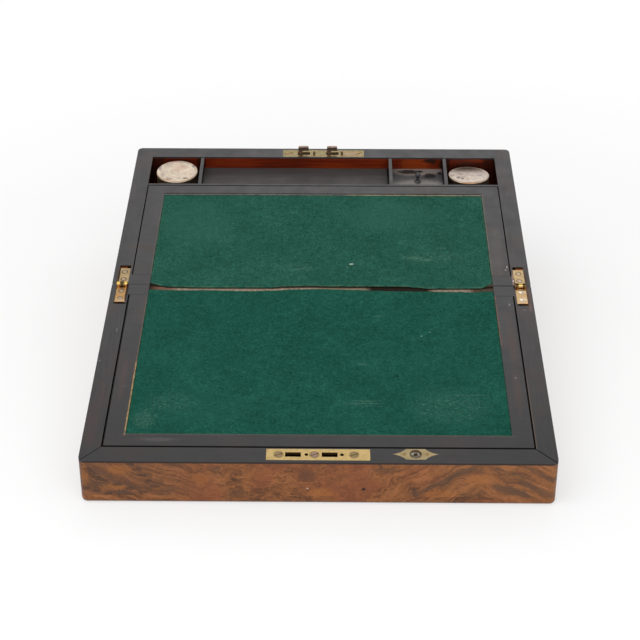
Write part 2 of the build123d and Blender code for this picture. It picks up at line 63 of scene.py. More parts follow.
def linear(code):
    """An sRGB hex colour as linear RGBA."""
    parts = [int(code[i:i + 2], 16) / 255 for i in (1, 3, 5)]
    return [c / 12.92 if c <= 0.04045 else ((c + 0.055) / 1.055) ** 2.4 for c in parts] + [1]


def add(tree, kind, inputs=None, ramp=None, **settings):
    """Add a shader node: settings first, then a value or another node's output per input."""
    node = tree.nodes.new("ShaderNode" + kind)
    for name, value in settings.items():
        setattr(node, name, value)
    for name, value in (inputs or {}).items():
        if isinstance(value, bpy.types.NodeSocket):
            tree.links.new(value, node.inputs[name])
        else:
            node.inputs[name].default_value = value
    for place, (stop, colour) in enumerate(ramp or ()):
        stops = node.color_ramp.elements
        element = stops[place] if place < 2 else stops.new(stop)
        element.position = stop
        element.color = linear(colour) if isinstance(colour, str) else (colour,) * 3 + (1,)
    return node


def new_finish(name, roughness, specular=0.5, ior=1.5, metallic=0.0):
    """A material for one finish: its node tree and its shader."""
    material = bpy.data.materials.new(name)
    material.use_nodes = True
    tree = material.node_tree
    shader = tree.nodes["Principled BSDF"]
    shader.inputs["Roughness"].default_value = roughness
    shader.inputs["Metallic"].default_value = metallic
    if not metallic:
        shader.inputs["IOR"].default_value = ior
        shader.inputs["Specular IOR Level"].default_value = specular
    return material, tree, shader


slope = radians(10)
back_rim_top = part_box("base_back_rim")[1]
hinge_height = (back_rim_top.z - back_rim_top.y * tan(slope)) / MM


def rim_place(tree):
    """Places on the rims' plane in millimetres: across, up the slope, off the slope."""
    spot = add(tree, "TexCoord").outputs["Object"]
    return add(tree, "Mapping", {
        "Vector": spot, "Scale": (1 / MM,) * 3, "Rotation": (-slope, 0, 0),
        "Location": (0, -hinge_height * sin(slope), -hinge_height * cos(slope))}).outputs[0]


def table_place(tree, turned=False):
    """Places above the table in millimetres, with X and Y changed over if turned."""
    spot = add(tree, "TexCoord").outputs["Object"]
    return add(tree, "Mapping", {
        "Vector": spot, "Scale": (1 / MM,) * 3,
        "Rotation": (0, 0, radians(90) if turned else 0)}).outputs[0]


def bumped(shader, height, distance):
    """Give the shader a relief whose full height is distance, in millimetres."""
    relief = add(shader.id_data, "Bump", {"Height": height, "Distance": distance * MM})
    shader.id_data.links.new(relief.outputs[0], shader.inputs["Normal"])


def grained(place, size, detail, roughness=0.5):
    """Noise drawn out along a grain: size is how large it is each way, in millimetres."""
    spot = add(place.id_data, "VectorMath", {0: place, 1: [1 / part for part in size]},
               operation="MULTIPLY")
    return add(place.id_data, "TexNoise", {"Vector": spot.outputs[0], "Scale": 1,
                                           "Detail": detail, "Roughness": roughness}).outputs[0]


def stepped(value, *stops):
    """A smooth curve through (value, result) stops, for values a ramp can't hold as they are."""
    low, high = stops[0][0], stops[-1][0]
    share = add(value.id_data, "MapRange", {"Value": value, "From Min": low, "From Max": high})
    curve = add(value.id_data, "ValToRGB", {0: share.outputs[0]},
                ramp=[((stop - low) / (high - low), result) for stop, result in stops])
    curve.color_ramp.interpolation = "EASE"
    return curve.outputs[0]


def combined(start, *shares):
    """A start value with other values added to it, each times its own share."""
    for value, share in shares:
        start = add(value.id_data, "Math", {0: value, 1: share, 2: start},
                    operation="MULTIPLY_ADD").outputs[0]
    return start


def product(first, *others):
    """The values multiplied together."""
    for value in others:
        first = add(first.id_data, "Math", {0: first, 1: value}, operation="MULTIPLY").outputs[0]
    return first


def ranged(value, low, high, soft=1.0):
    """1 while a value lies between low and high, 0 outside, with soft ends; None is no end."""
    ends = []
    if low is not None:
        ends.append({"From Min": low - soft, "From Max": low})
    if high is not None:
        ends.append({"From Min": high, "From Max": high + soft, "To Min": 1, "To Max": 0})
    return product(*(add(value.id_data, "MapRange", {"Value": value, **end}).outputs[0]
                     for end in ends))


def within(place, **spans):
    """1 inside a box: what ranged takes, (low, high, soft), for any of a place's x, y and z."""
    parts = add(place.id_data, "SeparateXYZ", {0: place}).outputs
    return product(*(ranged(parts[part.upper()], *span) for part, span in spans.items()))


def burr_walnut(name, turned=False):
    """French-polished burr walnut: orange-brown, grey-brown streaks, small dark eyes.

    At the left the streaks sweep down from the top corner and flatten out, the middle curls
    into a burr, and at the right they rise once and then fan out downwards.  The real grain
    is 0.3 mm wide, and is drawn at 0.8 mm so that it shows.
    """
    material, tree, shader = new_finish(name, 0.34, specular=0.3)
    place = table_place(tree, turned)
    across, depth, height = add(tree, "SeparateXYZ", {0: place}).outputs

    def cloud(size, detail=3, roughness=0.5):
        return add(tree, "TexNoise", {"Vector": place, "Scale": 1 / size, "Detail": detail,
                                      "Roughness": roughness}).outputs[0]

    # how far the streaks have come down at each place across, in decimetres, and how much of
    # that holds near the table
    fallen = stepped(across, (-175, 0.0), (-160, 0.12), (-145, 0.27), (-130, 0.42), (-110, 0.54),
                     (-85, 0.6), (-20, 0.6), (40, 0.55), (60, 0.50), (71, 0.48), (91, 0.36),
                     (105, 0.25), (118, 0.22), (140, 0.32), (175, 0.48))
    low_down = stepped(across, (-175, 0.35), (-60, 0.4), (40, 0.95), (175, 1))
    share = add(tree, "MapRange", {"Value": height, "From Max": front_height, "To Min": low_down})
    fall = product(fallen, share.outputs[0], 100)
    burr = stepped(across, (-175, 0.05), (-108, 0.2), (-80, 0.9), (45, 0.9), (75, 0.35),
                   (175, 0.1))
    curl = product(burr, cloud(13))
    lines = combined(height, (fall, 1), (cloud(50, 2), 12), (cloud(9, 4), 1.6), (curl, 40))
    bent = add(tree, "CombineXYZ", {0: across, 1: depth, 2: lines}).outputs[0]
    streaks, hairs = grained(bent, (70, 6.5, 6.5), 3), grained(bent, (13, 1.3, 1.3), 3, 0.7)
    patches = add(tree, "Mix", {0: product(burr, 0.75), 2: streaks, 3: cloud(16, 5, 0.6)},
                  data_type="FLOAT")
    tone = combined(-0.35, (patches.outputs[0], 0.75), (hairs, 0.65), (cloud(2.6, 3, 0.6), 0.3))
    colour = add(tree, "ValToRGB", {0: tone}, ramp=(
        (0.33, "#482e1a"), (0.42, "#643d23"), (0.5, "#804f2b"), (0.58, "#905b33"),
        (0.69, "#a66b44")))
    tree.links.new(colour.outputs[0], shader.inputs["Base Color"])
    stained(shader, product(ranged(cloud(27), 0.56, None, 0.16), burr), "#884b2e", 0.6)
    eyes = add(tree, "TexVoronoi", {"Vector": place, "Scale": 1 / 3.4})
    pupil = ranged(eyes.outputs["Distance"], None, 0.06, 0.2)
    some = add(tree, "MapRange", {"Value": eyes.outputs["Color"], "From Min": 0.58,
                                  "From Max": 0.62}).outputs[0]
    stained(shader, product(pupil, some, burr), "#3a271e", 0.8)
    bumped(shader, cloud(6), 0.05)
    plain = combined(height, (fall, 1), (cloud(8, 4), 6))
    return material, shader, place, across, plain


def dress(material, *nodes):
    """Give CAD nodes one material."""
    for node in nodes:
        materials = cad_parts[node].data.materials
        materials.clear()
        materials.append(material)


def spots(place, marks, fray=0.5):
    """A mask of small marks, 1 inside them and 0 outside, with edges broken up by a noise.

    A mark is its middle and its half sizes in millimetres, ((x, y, z), (x, y, z)), or, where
    its middle lies on the rims' plane, x and y and the half sizes in one.
    """
    tree = place.id_data
    rough = add(tree, "TexNoise", {"Vector": place, "Scale": 0.7, "Detail": 3})
    total = None
    for mark in marks:
        centre, reach = mark if len(mark) == 2 else ((*mark[:2], 0), mark[2:])
        near = add(tree, "VectorMath", {0: place, 1: centre}, operation="SUBTRACT")
        scaled = add(tree, "VectorMath", {0: near.outputs[0], 1: reach}, operation="DIVIDE")
        far = add(tree, "VectorMath", {0: scaled.outputs[0]}, operation="LENGTH")
        frayed = combined(far.outputs["Value"], (rough.outputs[0], 2 * fray))
        mask = ranged(frayed, None, 0.8 + fray, 0.4)
        total = mask if total is None else add(
            tree, "Math", {0: total, 1: mask}, operation="MAXIMUM").outputs[0]
    return total


def upright(face, deep, *marks):
    """Marks for spots on an upright face, each (across, height) and its half sizes."""
    return [((x, face, z), (wide, deep, tall)) for x, z, wide, tall in marks]


def stained(shader, mask, colour, strength=1.0):
    """Lay a colour over what the shader's base colour is fed with, where the mask is 1."""
    base, tree = shader.inputs["Base Color"], shader.id_data
    weight = mask if strength == 1.0 else product(mask, strength)
    over = add(tree, "Mix", {0: weight, 6: base.links[0].from_socket, 7: linear(colour)},
               data_type="RGBA")
    tree.links.new(over.outputs[2], base)


def grime_and_shade(shader, mask, colour, strength=1.0):
    """Lay a dark colour with no shine over a polished surface where the mask is 1: dirt in some
    places, painted shade in others.
    """
    stained(shader, mask, colour, strength)
    tint, tree = shader.inputs["Specular Tint"], shader.id_data
    clean = tint.links[0].from_socket if tint.links else (1, 1, 1, 1)
    dull = add(tree, "Mix", {0: product(mask, strength), 6: clean, 7: (0, 0, 0, 1)},
               data_type="RGBA")
    tree.links.new(dull.outputs[2], tint)


walnut, shader, place, across, plain = burr_walnut("burr_walnut_lid_front_wall")
# Heartwood, each from one place across to another along the streaks: two dark stretches at
# the left, the streak that rises, and four that fan out at the right.
for first, last, low, high, strength in (
        (-172, -136, 37.5, 40.5, 0.6), (-164, -122, 25, 29, 0.85), (72, 112, 57, 60, 0.6),
        (132, 176, 45.5, 50.5, 0.75), (150, 176, 57, 61, 0.65), (156, 176, 73, 75, 0.4),
        (118, 150, 63, 64.5, 0.3)):
    streak = product(ranged(across, first, last, 9), ranged(plain, low, high, 2))
    stained(shader, streak, "#3c2f28", strength)
stained(shader, spots(place, upright(
    front, 12, (70.5, 12, 1.2, 5), (-75, 31, 4, 3.5), (-60, 9, 7, 4), (-8, 26, 6, 5),
    (60, 5, 11, 1.5), (48, 30, 10, 2.5), (-130.5, 30, 2.2, 6), (-125, 16, 3, 5), (-113, 9, 5, 3),
    (-105, 33.5, 7, 2), (-160, 2.5, 16, 3), (-136, 34, 2.5, 3), (-124, 24, 3, 3),
    (-117, 18.5, 3.5, 3), (-108, 13.5, 4.5, 2.5)), 1.2), "#4f3828", 0.5)
stained(shader, spots(place, upright(front, 12, (3, 9, 10, 5), (90, 9, 14, 4), (120, 22, 12, 4),
                                     (-86, 22, 6, 5)), 1.2), "#a9652f", 0.4)
# The right end is paler, and the left end duller with bright patches and dark sweeps.
stained(shader, ranged(across, 100, 180, 30), "#a3714a", 0.15)
stained(shader, ranged(across, None, -150, 90), "#64432f", 0.5)
stained(shader, spots(place, upright(front, 12, (-145, 30, 9, 4), (-151, 14, 9, 3),
                                     (-170.5, 26, 2.5, 9)), 1.0), "#a9692f", 0.4)
sweeps = [(x0 + (x1 - x0) * part / 4, z0 + (z1 - z0) * part / 4, 3.6, 1.4)
          for x0, z0, x1, z1 in ((-137, 35, -120, 15), (-169, 30, -160, 21), (-171, 13, -139, 4),
                                 (-157, 20, -120, 6)) for part in range(5)]
stained(shader, spots(place, upright(front, 12, *sweeps), 0.8), "#2f221b", 0.55)
# An old nail hole and a pale fleck; then darker under the lipping and at the corners, and
# painted shade in the hooks' mortises, near black inside.
stained(shader, spots(place, upright(front, 3, (33.4, 13.5, 1.4, 1.1)), 0.2), "#1d1512")
stained(shader, spots(place, upright(front, 3, (-7.8, 14, 0.9, 0.5)), 0.2), "#b8a598")
corners = [((side * half_width, front, 18), (1.8, 1.6, 40)) for side in (-1, 1)]
stained(shader, spots(place, [((0, front, front_height), (400, 6, 1.0)), *corners], 0.2),
        "#33251d", 0.7)
# painted shade: near black inside the hooks' mortises, behind the face
stained(shader, within(place, y=(front + 3.6, 0, 0.4), x=(-173.5, 173.5, 0.5)), "#120c09", 0.97)
dress(walnut, "lid_front_wall")
dress(burr_walnut("burr_walnut_french_polished")[0], "lid_hinge_wall", "base_hinge_wall",
      "base_back_wall")
# The panels are veneered outside only: inside the boxes they are plain stained pine.
panel_walnut, shader, place, *_ = burr_walnut("burr_walnut_panels")
panel_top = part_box("lid_panel")[1].z / MM
depth = add(place.id_data, "SeparateXYZ", {0: place}).outputs[1]
from_joint = add(place.id_data, "Math", {0: depth}, operation="ABSOLUTE").outputs[0]
inner_face = product(within(place, z=(panel_top - 0.3, panel_top + 1, 0.1), x=(-165, 165)),
                     ranged(from_joint, 6, 198))
stained(shader, inner_face, "#4a2614", 0.94)
pale_grain = ranged(grained(place, (70, 2.5, 3), 5, 0.65), 0.66, None, 0.26)
stained(shader, product(inner_face, pale_grain), "#7a4a2b", 0.6)
dress(panel_walnut, "lid_panel", "base_bottom_board")
dress(burr_walnut("burr_walnut_side_walls", turned=True)[0], "lid_left_wall",
      "lid_right_wall", "base_left_wall", "base_right_wall")

# ---------------------------------------------------------------- linings and wells
# Strips of mahogany inside the walls carry the flaps.  Inside, the wood is only polished, so
# it kept its red, and ink was spilt on it behind the stamp compartment.


def polished_mahogany(name, turned=False):
    """Polished mahogany: red-brown, straight grain 1 mm apart, dark short pores."""
    material, tree, shader = new_finish(name, 0.38, specular=0.18)
    place = table_place(tree, turned)
    grain = grained(place, (60, 3, 3), 5, 0.6)
    broad = add(tree, "TexNoise", {"Vector": place, "Scale": 1 / 45, "Detail": 2})
    mixed = ranged(combined(grain, (broad.outputs[0], 0.5)), 1.05, None, 0.6)
    colour = add(tree, "ValToRGB", {0: mixed}, ramp=(
        (0.15, "#3a0e01"), (0.5, "#551602"), (0.85, "#6d2505")))
    tree.links.new(colour.outputs[0], shader.inputs["Base Color"])
    bumped(shader, grain, 0.06)
    return material, shader, place


mahogany, shader, place = polished_mahogany("mahogany_polished")
lining_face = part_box("base_back_lining")[0].y / MM
stained(shader, spots(place, upright(lining_face, 3, (86, 101, 13, 9)), 0.3), "#7d320b", 0.55)
stained(shader, spots(place, upright(lining_face, 3, (99.5, 104.2, 6, 2), (103, 102.6, 2.2, 1.6),
                                     (112, 101, 3.6, 5))), "#1c0f0a", 0.9)
well_shade = [(side * x, z, wide, tall) for x, z, wide, tall in (
    (137, 92, 21, 12), (157, 98, 9, 14), (115, 98, 4, 14)) for side in (-1, 1)]
stained(shader, spots(place, upright(lining_face, 6, *well_shade), 0.4), "#1c0a05", 0.8)
dress(mahogany, "base_back_lining", "base_hinge_lining", "lid_hinge_lining",
      "inkwell_well_floors", "stamp_well_floor", "stamp_lid_ledges",
      "base_flap_board", "lid_flap_board")
# In the gap beside the flaps the linings' ledges are painted near black as shade, and at the
# far end, in the wells, they are darker with painted shade too.
linings, shader, _ = polished_mahogany("mahogany_side_linings", turned=True)
place = rim_place(shader.id_data)
grime_and_shade(shader, within(place, z=(-12, None, 12)), "#0c0806", 0.93)
stained(shader, within(place, y=(150, 220)), "#170a06", 0.75)
dress(linings, "base_side_linings", "lid_side_linings", "lid_front_lining")

# ---------------------------------------------------------------- rims, rails and borders
# Lippings of dyed hardwood glued on the walls' top edges and round the flaps, mitred at the
# lock-side corners.  The black dye has worn thin, so brown and red wood shows through.
# the first colour is painted shade, near black, for faces down in the gaps; the second is dirt in
# the joints
gap_shade, joint_dirt = "#070606", "#0c0909"
joint_line = (-0.45, 0.5, 0.2)


def ebonised(name, grain_along="x", tint=0.35, in_gaps=False):
    """Ebonised hardwood, waxed: charcoal, fine grain 0.6 mm apart, brown where it is worn.

    With in_gaps, the faces below the rims' plane are painted near black as shade, as beside the
    flaps.
    """
    material, tree, shader = new_finish(name, 0.42)
    place = rim_place(tree)
    size = (30, 0.625, 0.625) if grain_along == "x" else (0.625, 30, 0.625)
    grain = grained(place, size, 4, 0.65)
    colour = add(tree, "ValToRGB", {0: grain}, ramp=(
        (0.25, "#1f1d1e"), (0.5, "#2c2a2b"), (0.75, "#3e3b3b")))
    tree.links.new(colour.outputs[0], shader.inputs["Base Color"])
    worn = add(tree, "TexNoise", {"Vector": place, "Scale": 1 / 30, "Detail": 4,
                                  "Roughness": 0.6}).outputs[0]
    stained(shader, ranged(worn, 0.72, None, 0.22), "#44302a", tint)
    # darker towards the writer: painted shade, as the far half is lit more
    stained(shader, within(place, y=(None, -200, 180)), "#161414", 0.55)
    handled = add(tree, "TexNoise", {"Vector": place, "Scale": 1 / 14, "Detail": 5})
    gloss = add(tree, "MapRange", {"Value": handled.outputs[0], "From Min": 0.3,
                                   "From Max": 0.7, "To Min": 0.38, "To Max": 0.52})
    tree.links.new(gloss.outputs[0], shader.inputs["Roughness"])
    bumped(shader, grain, 0.04)
    if in_gaps:
        # painted shade: faces down in the gaps, near black
        grime_and_shade(shader, within(place, z=(None, -0.6, 0.35), x=(-174.6, 174.6, 0.2),
                              y=(-209.4, 205, 0.2)), gap_shade, 0.96)
    return material, shader, place


def along_line(place, across, along, offset, width, fray=0.0):
    """A mask of one thin line, where across times x, along times y and offset add up to 0."""
    tree = place.id_data
    x, y, _ = add(tree, "SeparateXYZ", {0: place}).outputs
    shares = [(x, across), (y, along)]
    if fray:
        rough = add(tree, "TexNoise", {"Vector": place, "Scale": 0.5, "Detail": 3})
        shares.append((rough.outputs[0], fray))
    total = combined(offset - fray / 2, *shares)
    size = add(tree, "Math", {0: total}, operation="ABSOLUTE").outputs[0]
    return ranged(size, None, width * 0.35, width * 0.3)


dress(ebonised("ebonised_hardwood_across")[0], "base_back_rim")
material, shader, place = ebonised("ebonised_tray_floor_dull")
shader.inputs["Specular IOR Level"].default_value = 0.22
stained(shader, 0.6, "#434040")
streaks = ranged(grained(place, (45, 1.8, 1), 4, 0.65), 0.62, None, 0.16)
stained(shader, streaks, "#352b26", 0.5)
floor_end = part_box("pen_tray_floor")[1].x / MM
# painted shade: a dark strip at the floor's end, beside the partition's shaded side
grime_and_shade(shader, within(place, x=(floor_end - 1.3, floor_end + 1, 0.3), y=(140, 197)), gap_shade, 0.9)
dress(material, "pen_tray_floor")
material, shader, place = ebonised("ebonised_tray_front_board")
# painted shade: the board's near face, down in the gap before the flap
grime_and_shade(shader, within(place, y=(100, 148.8, 0.3)), gap_shade, 0.95)
dress(material, "tray_front_board")
material, shader, place = ebonised("ebonised_partitions", "v")
# painted shade: the partitions' sides below the rims' plane, down in the wells and the tray
grime_and_shade(shader, within(place, z=(-90, -1.0, 0.3)), "#120a08", 0.85)
dress(material, "left_inkwell_partition", "pen_tray_partition", "right_inkwell_partition")


def lid_rim(name, grain_along):
    """The lid's lippings: red wood worn bare at the left, and a few pale knocks."""
    material, shader, place = ebonised(name, grain_along, 0.4, in_gaps=True)
    for marks, fray, colour, strength in (
            ([(-170, -168, 5, 26, 4), (-167, -140, 3, 18, 4)], 0.9, "#5a342b", 0.13),
            ([(172.2, -12, 1.6, 11, 3), (172, -27, 1.6, 7, 3)], 0.7, "#5f4335", 0.5),
            ([(-173, -98, 0.8, 0.9, 2), (167, -32, 1.6, 0.7, 2), (-164, -60, 0.4, 3, 2)], 0.8,
             "#8d8884", 0.3)):
        stained(shader, spots(place, marks, fray), colour, strength)
    # dirt round the hinge leaves, along the front edge, in the joint and in the open mitre
    grime_and_shade(shader, spots(place, [(-161.6, -11, 0.9, 14, 3), (-165, -25.6, 6, 1.1, 3),
                                 (161.3, -2, 1.2, 3, 3), (166, -25.6, 5, 1, 3)], 0.4),
           "#20120a", 0.9)
    grime_and_shade(shader, spots(place, [(171.7, -11, 0.9, 12, 3)], 0.6), "#4a3325", 0.6)
    grime_and_shade(shader, within(table_place(shader.id_data), y=(-210, front + 0.05, 0.05)), "#3a2c26",
           0.6)
    grime_and_shade(shader, within(place, y=joint_line, x=(140, 180, 2)), joint_dirt, 0.9)
    grime_and_shade(shader, along_line(place, 1, 1, 35.2, 1.2), joint_dirt, 0.85)
    arris = product(within(place, x=(160.05, 160.7, 0.2), y=(-194.9, 0, 0.3)),
                    within(place, y=(None, -150, 70)))
    stained(shader, arris, "#6a5444", 0.4)
    return material


dress(lid_rim("ebonised_lid_front_rim", "x"), "lid_front_rim")
dress(lid_rim("ebonised_lid_side_rims", "v"), "lid_side_rims")

material, shader, place = ebonised("ebonised_base_side_rims", "v", 0.4, in_gaps=True)
# the gap faces at the far end are painted a lighter brown over the painted shade, so the shade is
# fainter there
gap_face = product(within(place, y=(115, None, 65)),
                   within(place, z=(-30, -0.35, 0.1), x=(-165, 165, 0.2)))
stained(shader, gap_face, "#4a3a31", 0.8)
stained(shader, spots(place, [(161, 11, 0.8, 5, 3), (160.9, 4, 0.9, 3, 3)], 0.7), "#8a6858",
        0.75)
stained(shader, spots(place, [(161.5, 6.9, 0.9, 1.0, 3)]), "#d8cfc4", 0.8)
grime_and_shade(shader, spots(place, [(171.7, 11, 0.8, 10, 3), (-171.5, 11, 0.8, 12, 3),
                             (166, 24.8, 6, 1.2, 3), (-166, 24.8, 5.5, 1.4, 3)], 0.6),
       "#45301f", 0.75)
dress(material, "base_side_rims")

# The rails beside the hinge line are let down where the cloth lies.  On the lid the cloth has
# torn off a strip as wide as the joint, and bare wood shows there, brown with glue and fluff.
cloth_edge = 143.5


def rail_finish(name, bare_parts, shadowed=None):
    """A rail: ebonised at its ends, bare wood in the sunk middle with darker stretches.

    shadowed gives, at places across, how far below the hinge line the other cloth's edge
    lies, in centimetres; under it the wood is painted black as that edge's shadow.
    """
    material, shader, place = ebonised(name, "x", 0.3)
    tree = place.id_data
    x, y, _ = add(tree, "SeparateXYZ", {0: place}).outputs
    sunk = within(place, z=(None, -0.8, 0.2), x=(-cloth_edge, cloth_edge, 0.2))
    fluff = grained(place, (20 / 7, 10 / 11, 1), 5, 0.65)
    bare = add(tree, "ValToRGB", {0: fluff}, ramp=(
        (0.3, "#4a4036"), (0.48, "#7b6e60"), (0.7, "#a69683"))).outputs[0]
    layers = [(product(ranged(x, low, high, 7), strength), colour)
              for low, high, colour, strength in bare_parts]
    if shadowed:
        under = combined(y, (stepped(x, *shadowed), 10), (fluff, 2.4))
        # painted shadow of the other cloth's edge, near black
        layers.append((product(ranged(under, 0.4, None), 0.9), "#150d08"))
    for mask, colour in layers:
        bare = add(tree, "Mix", {0: mask, 6: bare, 7: linear(colour)}, data_type="RGBA").outputs[2]
    base = shader.inputs["Base Color"]
    over = add(tree, "Mix", {0: sunk, 6: base.links[0].from_socket, 7: bare}, data_type="RGBA")
    tree.links.new(over.outputs[2], base)
    matt = add(tree, "Mix", {0: sunk, 6: (1, 1, 1, 1), 7: (0, 0, 0, 1)}, data_type="RGBA")
    tree.links.new(matt.outputs[2], shader.inputs["Specular Tint"])
    rough = add(tree, "Mix", {0: sunk, 2: 0.45, 3: 0.9}, data_type="FLOAT")
    tree.links.new(rough.outputs[0], shader.inputs["Roughness"])
    for low, high, strength in ((140, 180, 0.92), (-180, -140, 0.3)):
        grime_and_shade(shader, within(place, y=joint_line, x=(low, high, 2)), joint_dirt, strength)
    return material


dress(rail_finish("rail_of_the_lid", (
    (-145, -140.5, "#120d0a", 0.9), (-137, -126, "#5d3a2c", 0.7), (2, 34, "#7a6650", 0.5),
    (42, 88, "#120b07", 0.96), (128, 145, "#2e2018", 0.8)), (
    (-144, 0.0), (-134, 0.1), (-127, 0.25), (-100, 0.32), (-42, 0.3), (-31, 0.2), (-10, 0.13),
    (10, 0.18), (68, 0.15), (80, 0.19), (89, 0.33), (128, 0.28), (144, 0.1))),
    "lid_hinge_rail")
# The base's rail is painted near black as shade under its cloth's overhanging edge, with bare wood
# showing at the right end.
dress(rail_finish("rail_of_the_base", ((-145, 145, "#1a120e", 0.95), (134, 145, "#5c5140", 0.55))),
      "base_hinge_rail")

# Each flap is banded on three sides.  A line of old gilt or glue shows where the cloth was cut.
base_cut, lid_cut = 132.5, -180.8


def border_finish(name, cut, edge_lines):
    """A flap's banding: dyed wood, and a worn line beside the cloth's end or its sides."""
    material, shader, place = ebonised(name, "x", 0.4, in_gaps=True)
    worn = add(place.id_data, "TexNoise", {"Vector": place, "Scale": 0.16, "Detail": 4,
                                           "Roughness": 0.65}).outputs[0]
    kept = add(place.id_data, "MapRange", {"Value": worn, "From Min": 0.36, "From Max": 0.56,
                                           "To Min": 0.25}).outputs[0]
    for low, high, side, colour, strength in edge_lines:
        if side:
            line = along_line(place, side, 0, -cloth_edge - 0.5, 1.1, 0.8)
            there = within(place, y=(low, high, 3))
        else:
            line = along_line(place, 0, 1 if cut > 0 else -1, -abs(cut) - 0.5, 1.1, 0.8)
            there = within(place, x=(low, high, 4))
        stained(shader, product(line, there, kept), colour, strength)
    return material, shader, place


material, shader, place = border_finish("banding_of_the_base_flap", base_cut, (
    (-142, 142, 0, "#667060", 0.6), (25, 142, 0, "#8d8257", 0.7), (14, 130, 1, "#5f5f48", 0.5),
    (14, 130, -1, "#54513f", 0.4)))
cloth_shadow = product(along_line(place, 0, 1, -base_cut - 2.1, 2.1, 0.8),
                       within(place, x=(-143, 143, 2)))
grime_and_shade(shader, cloth_shadow, "#1c1410", 0.85)
stained(shader, spots(place, [(149, 30, 5, 26, 3), (152, 60, 4, 20, 3)], 1.0), "#6d6058", 0.12)
stained(shader, spots(place, [(157.4, 26, 0.5, 1.6, 2), (155.8, 22, 0.7, 0.9, 2)], 0.7),
        "#b5aca6", 0.6)
# painted shade: the border's far face, down in the gap beside the tray's front board
grime_and_shade(shader, within(place, y=(147, 150, 0.3)), gap_shade, 0.95)
grime_and_shade(shader, within(place, y=(10, 12.3, 0.2)), "#3b322b", 0.6)
dress(material, "base_flap_border")
material, shader, place = border_finish("banding_of_the_lid_flap", lid_cut, (
    (-180.5, -100, -1, "#9a7c4c", 0.95), (-100, -14, -1, "#5c4a3a", 0.6),
    (-75, -14, 1, "#62402e", 0.8), (-145, 145, 0, "#45463a", 0.5)))
for marks, fray, colour, strength in (
        ([(153, -70, 3.5, 30, 2), (152, -130, 3, 26, 2), (-152, -120, 2.5, 22, 2)], 0.9,
         "#55362d", 0.2),
        ([(155, -25, 0.5, 1.4, 2), (151.8, -116, 0.7, 0.7, 2)], 0.8, "#9d9690", 0.5),
        ([(-119, -187, 13, 2, 2), (-150, -128, 3, 0.4, 2)], 1.2, "#5f6468", 0.2)):
    stained(shader, spots(place, marks, fray), colour, strength)
# painted shade on the border's faces down in the gaps round the flap
for span in ({"x": (-162, -158.4, 0.25)}, {"x": (158.7, 162, 0.25)}, {"y": (-200, -193.6, 0.25)},
             {"y": (-11.9, -10, 0.25)}):
    grime_and_shade(shader, within(place, **span), gap_shade, 0.95)
dress(material, "lid_flap_border")

# ---------------------------------------------------------------- stamp lid and its knob
# A loose board of the same dyed wood, scrubbed pale, with ink spilt behind the knob.  The
# knob is turned: a spreading foot, a thin stem and a ball, glued in a hole.
tray_drop = 10.7
material, shader, place = ebonised("stamp_lid_ink_stained", "x", 0.2)
for marks, fray, lay, colour, strength in (
        (((88, 161, 26, 13), (88, 190, 26, 9)), 0.25, stained, "#7d746e", 0.7),
        (((80, 187.5, 9.5, 3.6), (99.4, 181, 6, 4), (108.8, 185, 2.4, 2.6), (90, 188, 3.5, 2)),
         0.7, grime_and_shade, "#120e0e", 0.88)):
    lay(shader, spots(place, [((x, v, -tray_drop), (wide, long, 3))
                              for x, v, wide, long in marks], fray), colour, strength)
dress(material, "stamp_lid")


def piece(name, mesh, material, body, stands_for):
    """Put a finished mesh in the scene: its material, the body it rides on, what it is for."""
    made = bpy.data.objects.new(name, mesh)
    bpy.context.scene.collection.objects.link(made)
    mesh.materials.append(material)
    for face in mesh.polygons:
        face.use_smooth = True
    if body:
        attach(made, body)
    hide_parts(*stands_for)
    return made


def meshed(name, form):
    """A finished mesh made of a bmesh form, its faces turned outwards."""
    bmesh.ops.recalc_face_normals(form, faces=form.faces)
    mesh = bpy.data.meshes.new(name)
    form.to_mesh(mesh)
    form.free()
    return mesh


def on_slope(x, v, w=0.0):
    """A point given on the rims' plane in millimetres, in metres above the table."""
    return Vector((x, v * cos(slope) - w * sin(slope),
                   hinge_height + v * sin(slope) + w * cos(slope))) * MM


def lathe(name, profile, sides, matrix, wobble=0.0):
    """A turned form: (radius, height) points in millimetres, spun about their own axis."""
    form = bmesh.new()
    rings = []
    for radius, height in profile:
        if radius == 0:
            rings.append([form.verts.new((0, 0, height * MM))])
            continue
        ring = []
        for step in range(sides):
            turn = 2 * pi * step / sides
            reach = radius + wobble * noise.noise(Vector((cos(turn), sin(turn), height * 0.2)))
            ring.append(form.verts.new((reach * cos(turn) * MM, reach * sin(turn) * MM,
                                        height * MM)))
        rings.append(ring)
    for lower, upper in zip(rings, rings[1:]):
        for step in range(sides):
            after = (step + 1) % sides
            if len(lower) == 1:
                form.faces.new((lower[0], upper[after], upper[step]))
            elif len(upper) == 1:
                form.faces.new((lower[step], lower[after], upper[0]))
            else:
                form.faces.new((lower[step], lower[after], upper[after], upper[step]))
    form.transform(matrix)
    return meshed(name, form)


